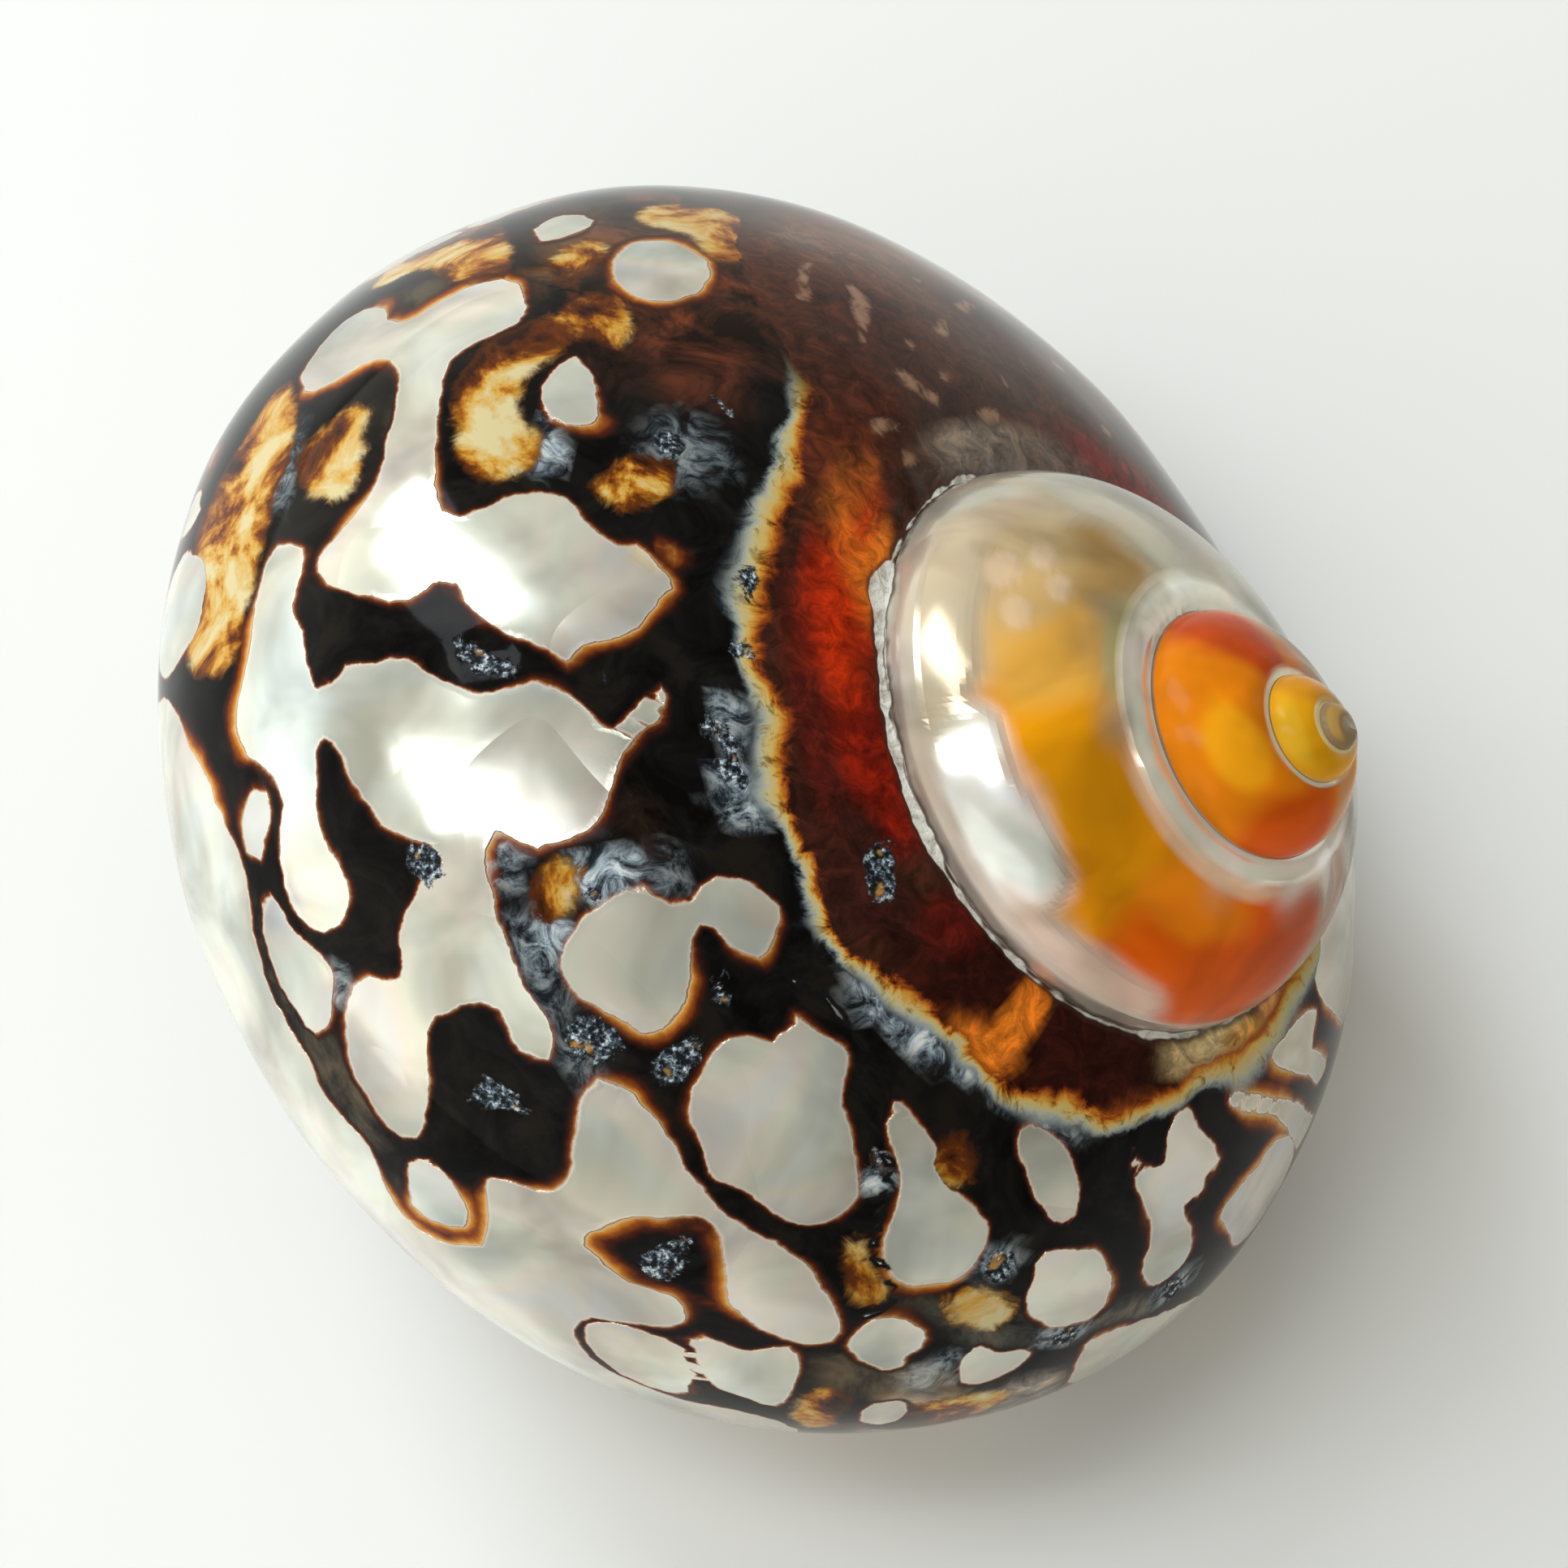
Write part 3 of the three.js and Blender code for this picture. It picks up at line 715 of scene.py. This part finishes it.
def colourLayer(mesh, name, colours):
    layer = mesh.attributes.new(name, "FLOAT_COLOR", "POINT")
    rgba = np.concatenate([np.clip(colours, 0, 1), np.ones((len(colours), 1))], axis=1)
    layer.data.foreach_set("color", rgba.astype(np.float32).ravel())


def readLayer(mesh, name):
    values = np.zeros(len(mesh.vertices), np.float32)
    mesh.attributes[name].data.foreach_get("value", values)
    return values.astype(float)


def markShell(mesh):
    angles, sides = readLayer(mesh, "coilAngle"), readLayer(mesh, "coilSide")
    lining = readLayer(mesh, "inner") > 0.5
    # a point where two whorls meet counts as the later one's
    merged = (np.abs(sides - joinSide) < 0.01) & (angles < turban["bodyAngle"]) & ~lining
    angles, sides = np.where(merged, angles + 360, angles), np.where(merged, seamSide, sides)
    onBody = (angles > turban["bodyAngle"] - 40) & ~lining
    onSkin = np.minimum(sides, turban["innerSide"])
    perAngle, perSide = millimetresPerDegree(angles, onSkin)
    skinPoints = surfacePoint(angles, onSkin) * 1000
    wander, fine = unevenness(skinPoints, 0.32), unevenness(skinPoints, 0.9)
    place = (angles + 0.22 * fine / perAngle, sides + 0.22 * (wander - fine) / perSide,
             perAngle, perSide)

    def layOn(name, distances):
        floatLayer(mesh, name, np.where(onBody, distances, farOff))

    layers = {name: [outlineDistance(place, outline) for outline in outlines]
              for name, outlines in pearlWindows.items()}
    names = list(layers)
    patches = [outlineDistance(place, outline) for outline in amberPatches]
    grainy = [chainDistance(place, chain) for chain in inclusions]
    for i, (outline, radius) in enumerate(zip(*extraWindows())):
        distances = layers[names[i % 2]]
        if i % turban["amberEvery"] == 4:
            distances = patches
        elif radius < turban["grainyRadius"] and i % turban["grainyEvery"] > 7:
            distances = grainy
        distances.append(outlineDistance(place, outline))
    # from coil angle -290 back, the whole spire has lost its dark layer
    spire = (angles + 290 - 9 * wander - 4 * fine) * perAngle
    for name, distances in layers.items():
        distances.append(spire)
        floatLayer(mesh, name, np.where(onBody, np.min(distances, axis=0), deepInside))
    layOn("patch", np.min(patches, axis=0))
    layOn("inclusion", np.min(grainy, axis=0))
    layOn("fleck", np.min([chainDistance(place, chain) for chain in flecks], axis=0))
    layOn("crack", chainDistance(place, [(a, s, 0.0) for a, s in crackLine]))
    edge = np.interp(angles, *zip(*bandEdge)) + (1.6 * wander + 0.9 * fine)
    layOn("band", (sides - edge) * perSide)
    # the pale line along the band's edge is lost in the dark mottling near the mouth
    lineShown = np.maximum(smooth((-78 - angles) / 8), smooth((angles + 34) / 16))
    floatLayer(mesh, "bandLine", lineShown * onBody)

    # the chipped edge by the seam, with two stretches where it is wider
    fromSeam = (sides - seamSide) * perSide
    toJoin = (joinSide - sides) * perSide
    wider = 0.85 * np.exp(-((angles + 104) / 7) ** 2) + 0.25 * np.exp(-((angles + 150) / 20) ** 2)
    lastWhorl = angles > turban["bodyAngle"] - 0.01
    onSpire = np.where(angles > -640, toJoin - 0.25, farOff)
    chipped = np.where(lastWhorl, fromSeam - 0.12 - wider, onSpire)
    floatLayer(mesh, "seam", np.where(lining, farOff, chipped))

    tints = {}
    for name, base, stains in (("bandTint", "bandBase", bandStains),
                               ("lacquerTint", "lacquerBase", lacquerStains),
                               ("pearlTint", "pearlBase", pearlStainsAndPaintedLight)):
        tints[name] = np.tile(turban[base], (len(angles), 1))
        stain(tints[name], angles, sides, wander, stains)
    pearl = np.where(lining[:, None], np.array(turban["liningColour"]), tints["pearlTint"])
    tints["pearlTint"] = pearl
    for name, colours in tints.items():
        colourLayer(mesh, name, colours)
    cloud = np.zeros(len(angles))
    for angle, side, acrossReach, alongReach, strength in clouds:
        far = np.hypot((angles - angle) / acrossReach, (sides - side) / alongReach)
        cloud = np.maximum(cloud, strength * smooth((1.3 - far + 0.5 * fine) / 0.8))
    floatLayer(mesh, "cloud", cloud * onBody)
    # strong colour lies in a glassy layer, pale nacre shines like metal
    strong = (pearl.max(1) - pearl.min(1)) / pearl.max(1)
    floatLayer(mesh, "silver", 1 - smooth(strong * 2.2 - 0.5))
    for name in ("coilAngle", "coilSide", "inner"):
        mesh.attributes.remove(mesh.attributes[name])


markShell(shellMesh)
print("markings laid on")


def newNode(tree, kind, **inputs):
    node = tree.nodes.new(kind)
    for name, value in inputs.items():
        node.inputs[name].default_value = value
    return node


def plug(socket, value):
    # a link, a number or a colour
    if hasattr(value, "is_output"):
        socket.id_data.links.new(value, socket)
    elif hasattr(value, "__len__"):
        socket.default_value = (*value, 1.0)
    else:
        socket.default_value = value


def nodeBeside(values, kind):
    # a node in the tree that the linked values come from
    tree = next(value.id_data for value in values if hasattr(value, "is_output"))
    return tree.nodes.new(kind)


def mathNode(operation, *values):
    node = nodeBeside(values, "ShaderNodeMath")
    node.operation = operation
    for socket, value in zip(node.inputs, values):
        plug(socket, value)
    return node.outputs[0]


def product(*values):
    result = values[0]
    for value in values[1:]:
        result = mathNode("MULTIPLY", result, value)
    return result


def mapNode(value, low, high, toLow=0.0, toHigh=1.0, style="SMOOTHSTEP"):
    node = newNode(value.id_data, "ShaderNodeMapRange", **{
        "From Min": low, "From Max": high, "To Min": toLow, "To Max": toHigh,
    })
    node.interpolation_type = style
    plug(node.inputs["Value"], value)
    return node.outputs["Result"]


def mixNode(factor, first, second, blend="MIX"):
    node = nodeBeside((factor, first, second), "ShaderNodeMix")
    node.data_type = "RGBA"
    node.blend_type = blend
    plug(node.inputs[0], factor)
    plug(node.inputs[6], first)
    plug(node.inputs[7], second)
    return node.outputs[2]


def rampNode(value, stops):
    node = nodeBeside((value,), "ShaderNodeValToRGB")
    while len(node.color_ramp.elements) < len(stops):
        node.color_ramp.elements.new(0.5)
    for element, (at, colour) in zip(node.color_ramp.elements, stops):
        element.position = at
        element.color = (*colour, 1)
    plug(node.inputs["Fac"], value)
    return node.outputs["Color"]


def noiseNode(place, scale, detail=2.0, roughness=0.5, distortion=0.0):
    node = newNode(place.id_data, "ShaderNodeTexNoise", Scale=scale, Detail=detail,
                   Roughness=roughness, Distortion=distortion)
    plug(node.inputs["Vector"], place)
    return node.outputs["Fac"]


def readAttribute(tree, name, output="Fac"):
    node = tree.nodes.new("ShaderNodeAttribute")
    node.attribute_name = name
    return node.outputs[output]


def tinted(name, shades):
    # a colour laid on the mesh, in lighter and darker shades
    colour = readAttribute(shades.id_data, name, "Color")
    return mixNode(1.0, colour, shades, "MULTIPLY")


def frayed(name, texture, reach, shift):
    # a distance laid on the mesh, its edge broken up by a texture
    wander = mathNode("MULTIPLY_ADD", texture, reach, shift)
    return mathNode("ADD", readAttribute(texture.id_data, name), wander)


def lacquerAndPearl():
    material = bpy.data.materials.new("lacquerAndPearl")
    material.use_nodes = True
    tree = material.node_tree
    tree.nodes.clear()
    output = tree.nodes.new("ShaderNodeOutputMaterial")
    surface = newNode(tree, "ShaderNodeBsdfPrincipled", **{
        "Specular IOR Level": turban["specular"], "IOR": turban["refraction"],
    })
    plug(output.inputs[0], surface.outputs[0])
    black = turban["lacquerBase"]
    place = tree.nodes.new("ShaderNodeTexCoord").outputs["Object"]
    broad = noiseNode(place, 120, 2)
    ragged = noiseNode(place, 900, 3, 0.6)
    streaks = noiseNode(place, 650, 5, 0.7, 1.2)
    grain = noiseNode(place, 3400, 3, 0.65)
    reach = turban["edgeWobble"]
    wobble = mapNode(ragged, 0.25, 0.75, -reach, reach, "LINEAR")

    # windows, from their three layers
    window = readAttribute(tree, "pearlFirst")
    for name in ("pearlSecond", "pearlThird"):
        window = mathNode("MINIMUM", window, readAttribute(tree, name))
    window = mathNode("ADD", window, wobble)
    isPearl = mapNode(window, 0.04, -0.04)

    # the dark layer thins to amber and dark red at a window's edge
    thinned = mathNode("DIVIDE", window, mapNode(broad, 0.38, 0.7, 0.5, 2.2))
    thinFringe = rampNode(thinned, (
        (0.0, (0.66, 0.42, 0.27)), (0.05, (0.3, 0.095, 0.018)), (0.12, (0.11, 0.022, 0.006)),
        (0.25, (0.03, 0.007, 0.004)), (0.48, (0.009, 0.005, 0.004)), (0.7, black),
    ))
    glowing = rampNode(thinned, (
        (0.0, (0.74, 0.5, 0.26)), (0.08, (0.56, 0.23, 0.03)), (0.18, (0.28, 0.065, 0.008)),
        (0.32, (0.085, 0.014, 0.004)), (0.52, (0.016, 0.006, 0.004)), (0.7, black),
    ))
    fringe = mixNode(mapNode(broad, 0.52, 0.64), thinFringe, glowing)
    tintStreaks = rampNode(noiseNode(place, 260, 5, 0.65, 0.8), (
        (0.38, (0.12, 0.1, 0.09)), (0.5, (0.85, 0.8, 0.8)), (0.62, (2.3, 1.9, 1.5)),
    ))
    tint = tinted("lacquerTint", tintStreaks)
    lacquer = mixNode(mapNode(thinned, 0.2, 0.6), fringe, tint)

    # blue-white cloud in the dark layer
    cloudStreaks = mapNode(streaks, 0.36, 0.6, 0.15, 1.0)
    cloud = product(readAttribute(tree, "cloud"), cloudStreaks)
    cloudColour = rampNode(streaks, (
        (0.38, (0.07, 0.1, 0.13)), (0.52, (0.36, 0.44, 0.5)), (0.66, (0.74, 0.75, 0.7)),
    ))
    lacquer = mixNode(cloud, lacquer, cloudColour)

    # amber patches with streaks, which fade to brown at their edge
    patch = frayed("patch", streaks, 1.5, -0.75)
    amber = rampNode(noiseNode(place, 210, 6, 0.62, 0.5), (
        (0.38, (0.025, 0.007, 0.003)), (0.46, (0.13, 0.03, 0.004)), (0.51, (0.4, 0.14, 0.01)),
        (0.55, (0.58, 0.33, 0.06)), (0.63, (0.62, 0.52, 0.28)),
    ))
    fading = mapNode(patch, -0.55, 0.05, 0.0, 0.85)
    amber = mixNode(fading, amber, (0.075, 0.02, 0.004))
    lacquer = mixNode(mapNode(patch, 0.25, -0.25), lacquer, amber)

    # the red-brown band with its flecks, and the amber, cream and blue line along its edge
    edgeWidth = mapNode(broad, 0.35, 0.65, 0.45, 1.35)
    fromBand = mathNode("DIVIDE", frayed("band", streaks, 1.5, -0.75), edgeWidth)
    bandColour = tinted("bandTint", rampNode(streaks, (
        (0.32, (0.45, 0.38, 0.36)), (0.5, (1.0, 1.0, 1.0)), (0.66, (1.9, 1.7, 1.5)),
    )))
    fleck = mapNode(frayed("fleck", streaks, 1.4, -0.7), 0.3, -0.25, 0.0, 0.8)
    bandColour = mixNode(fleck, bandColour, (0.36, 0.2, 0.12))
    lacquer = mixNode(mapNode(fromBand, 0.15, -0.15), lacquer, bandColour)
    line = rampNode(mapNode(fromBand, -0.7, 2.0, style="LINEAR"), (
        (0.0, (0.14, 0.016, 0.004)), (0.16, (0.34, 0.07, 0.008)), (0.25, (0.58, 0.24, 0.025)),
        (0.34, (0.62, 0.42, 0.12)), (0.48, (0.52, 0.46, 0.26)), (0.6, (0.34, 0.37, 0.34)),
        (0.78, (0.05, 0.07, 0.085)), (1.0, black),
    ))
    lineShown = product(
        mapNode(fromBand, -0.7, -0.2), mapNode(fromBand, 1.7, 0.7),
        mapNode(streaks, 0.34, 0.5, 0.35, 1.0), readAttribute(tree, "bandLine"),
    )
    lacquer = mixNode(lineShown, lacquer, line)

    # nacre: grey-white with faint green, rose and blue, a random tone that also paints the light
    # and shade of soft folds, and a warm rim
    hue = rampNode(noiseNode(place, 120, 3, 0.5, 1.0), (
        (0.36, (0.92, 0.98, 0.99)), (0.46, (0.97, 1.0, 0.93)), (0.55, (1.04, 0.985, 0.94)),
        (0.66, (0.96, 0.98, 1.03)),
    ))
    # painted light and shade of the nacre's soft folds, laid over its own random tone
    depth = rampNode(noiseNode(place, 150, 3, 0.5, 0.5), (
        (0.34, (0.66, 0.655, 0.64)), (0.5, (0.96, 0.96, 0.96)), (0.64, (1.22, 1.22, 1.22)),
    ))
    pearl = tinted("pearlTint", depth)
    silver = readAttribute(tree, "silver")
    pearl = mixNode(silver, pearl, mixNode(1.0, pearl, hue, "MULTIPLY"))
    rim = product(mapNode(window, -0.18, -0.03), 0.6)
    pearl = mixNode(rim, pearl, (0.8, 0.68, 0.58))
    colour = mixNode(isPearl, lacquer, pearl)

    # rough inclusions: blue-white grains on dark, with amber between; the pale grains are partly
    # their own colour and partly painted glints
    inclusion = frayed("inclusion", streaks, 1.6, -0.8)
    grainsAndGlints = rampNode(grain, (
        (0.44, (0.008, 0.009, 0.01)), (0.53, (0.06, 0.08, 0.1)), (0.6, (0.27, 0.33, 0.38)),
        (0.7, (0.8, 0.82, 0.82)),
    ))
    warm = mapNode(noiseNode(place, 900, 2), 0.56, 0.66)
    warm = product(warm, mapNode(inclusion, -0.1, -0.4))
    grainsAndGlints = mixNode(warm, grainsAndGlints, (0.45, 0.22, 0.04))
    isRough = mapNode(inclusion, 0.05, -0.12)
    colour = mixNode(isRough, colour, grainsAndGlints)

    # the fine crack, and the chipped white edge along the seams
    crack = mathNode("ADD", readAttribute(tree, "crack"), product(wobble, 0.6))
    colour = mixNode(mapNode(crack, 0.32, 0.2), colour, (0.006, 0.006, 0.006))
    pale = product(mapNode(crack, 0.1, 0.04), mapNode(broad, 0.4, 0.52))
    colour = mixNode(pale, colour, (0.56, 0.54, 0.5))
    seam = frayed("seam", noiseNode(place, 520, 2, 0.5), 1.1, -0.52)
    shaded = mapNode(seam, 0.38, 0.08, 0.0, 0.75)
    colour = mixNode(shaded, colour, (0.05, 0.025, 0.015))
    chalk = mapNode(seam, 0.06, -0.06)
    chalkColour = rampNode(streaks, ((0.36, (0.4, 0.35, 0.28)), (0.55, (0.78, 0.75, 0.68))))
    colour = mixNode(chalk, colour, chalkColour)
    plug(surface.inputs["Base Color"], colour)

    dull = mathNode("MAXIMUM", isRough, chalk)
    polish, pearlPolish = turban["lacquerRoughness"], turban["pearlRoughness"]
    rough = mapNode(isPearl, 0, 1, polish, pearlPolish, "LINEAR")
    chalkShare = product(dull, turban["chalkRoughness"] - pearlPolish)
    plug(surface.inputs["Roughness"], mathNode("ADD", rough, chalkShare))
    isSilver = product(isPearl, silver)
    isClean = mathNode("SUBTRACT", 1.0, dull)
    metal = product(isSilver, isClean, turban["pearlMetallic"])
    plug(surface.inputs["Metallic"], metal)

    # relief: the folds of the nacre, the grains, the seam's crumbs and the windows' edges
    hammered = noiseNode(place, 125, 1.5, 0.35)
    crease = mathNode("SUBTRACT", noiseNode(place, 140, 0, 0.4), 0.5)
    height = mathNode("MULTIPLY_ADD", mathNode("ABSOLUTE", crease), 0.8, hammered)
    height = product(height, mapNode(isSilver, 0, 1, 0.35, 2.2, "LINEAR"))
    for texture, share in ((grain, mapNode(dull, 0, 1, 0.006, 0.7, "LINEAR")),
                           (mapNode(crack, 0.2, 0.0), -0.35),
                           (mapNode(window, -0.35, 0.1), 0.07)):
        height = mathNode("MULTIPLY_ADD", texture, share, height)
    bump = newNode(tree, "ShaderNodeBump", Strength=turban["bumpStrength"],
                   Distance=turban["bumpReach"])
    plug(bump.inputs["Height"], height)
    plug(surface.inputs["Normal"], bump.outputs[0])
    return material


def addObject(name, data):
    piece = bpy.data.objects.new(name, data)
    bpy.context.scene.collection.objects.link(piece)
    return piece


shellPiece = addObject("turban_shell", shellMesh)
for face in shellMesh.polygons:
    face.use_smooth = True
shellMesh.materials.append(lacquerAndPearl())
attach(shellPiece, "root")
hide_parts("shell")
print("shell finished")

studio = {
    "floorSize": 3.0,
    "floorRoughness": 0.6,
    "floorTones": ((0.835, 0.83, 0.815), (0.85, 0.845, 0.83)),
    "roomColour": (1.0, 0.975, 0.87),
    "roomOverhead": 0.6,
    "roomHorizon": 1.0,
    "roomFarSide": 0.12,
    "roomSides": (1.15, 0.48),
    "aim": (0.0007, -0.0033, 0.0183),
    "cameraPlace": (0.01249, -0.08324, 0.17855),
    "cameraRoll": -2.06,
    "lens": 80.5,
    "lightColour": (0.86, 0.94, 1.0),
    # direction from the shell, distance, width, height and power of each soft light
    "lights": (
        ("windowNear", (-0.47, -0.1, 0.87), 0.62, 0.13, 0.34, 0.95),
        ("windowFar", (-0.49, 0.44, 0.74), 0.62, 0.19, 0.36, 1.45),
        ("windowTop", (-0.2, -0.14, 0.97), 0.62, 0.1, 0.2, 0.3),
        ("lowCard", (-0.96, 0.02, 0.26), 0.7, 0.55, 0.2, 0.12),
        ("skyCard", (-0.35, -0.75, 0.62), 0.9, 0.5, 0.4, 0.4),
    ),
}


def makeFloor():
    bm = bmesh.new()
    bmesh.ops.create_grid(bm, x_segments=4, y_segments=4, size=studio["floorSize"] / 2)
    mesh = bpy.data.meshes.new("floor")
    bm.to_mesh(mesh)
    bm.free()
    material = bpy.data.materials.new("paleFloor")
    material.use_nodes = True
    tree = material.node_tree
    shader = tree.nodes["Principled BSDF"]
    shader.inputs["Roughness"].default_value = studio["floorRoughness"]
    place = tree.nodes.new("ShaderNodeTexCoord").outputs["Object"]
    tones = studio["floorTones"]
    faint = rampNode(noiseNode(place, 14, 3), ((0.3, tones[0]), (0.7, tones[1])))
    plug(shader.inputs["Base Color"], faint)
    mesh.materials.append(material)
    piece = addObject("floor", mesh)


def makeLights():
    aim = Vector(studio["aim"])
    for name, direction, distance, width, height, power in studio["lights"]:
        light = bpy.data.lights.new(name, "AREA")
        light.shape = "RECTANGLE"
        light.size = width
        light.size_y = height
        light.energy = power
        light.color = studio["lightColour"]
        piece = addObject(name, light)
        way = Vector(direction).normalized()
        piece.location = aim + way * distance
        piece.rotation_euler = way.to_track_quat("Z", "Y").to_euler()


def makeRoom():
    # light from all round, brightest low down on the left
    world = bpy.data.worlds.new("paleRoom")
    world.use_nodes = True
    tree = world.node_tree
    direction = tree.nodes.new("ShaderNodeTexCoord").outputs["Generated"]
    split = tree.nodes.new("ShaderNodeSeparateXYZ")
    plug(split.inputs[0], direction)
    upward = mapNode(split.outputs[2], 0.0, 0.75, 1.0, 0.0, "LINEAR")
    lit = mapNode(split.outputs[0], -0.9, 0.7, 1.0, studio["roomFarSide"])
    strength = product(upward, lit, studio["roomHorizon"])
    strength = mathNode("ADD", strength, studio["roomOverhead"])
    sideways = mapNode(split.outputs[0], -0.9, 0.9, *studio["roomSides"], "LINEAR")
    background = tree.nodes["Background"]
    plug(background.inputs["Color"], studio["roomColour"])
    plug(background.inputs["Strength"], product(strength, sideways))
    bpy.context.scene.world = world


def makeCamera():
    camera = bpy.data.cameras.new("camera")
    camera.lens = studio["lens"]
    camera.clip_start = 0.01
    piece = addObject("camera", camera)
    piece.location = studio["cameraPlace"]
    gaze = Vector(studio["aim"]) - piece.location
    roll = Matrix.Rotation(studio["cameraRoll"] * radian, 3, "Z")
    piece.rotation_euler = (gaze.to_track_quat("-Z", "Y").to_matrix() @ roll).to_euler()
    bpy.context.scene.camera = piece


makeFloor()
makeLights()
makeRoom()
makeCamera()
bpy.context.scene.view_settings.view_transform = "Standard"
print("stage and camera set")
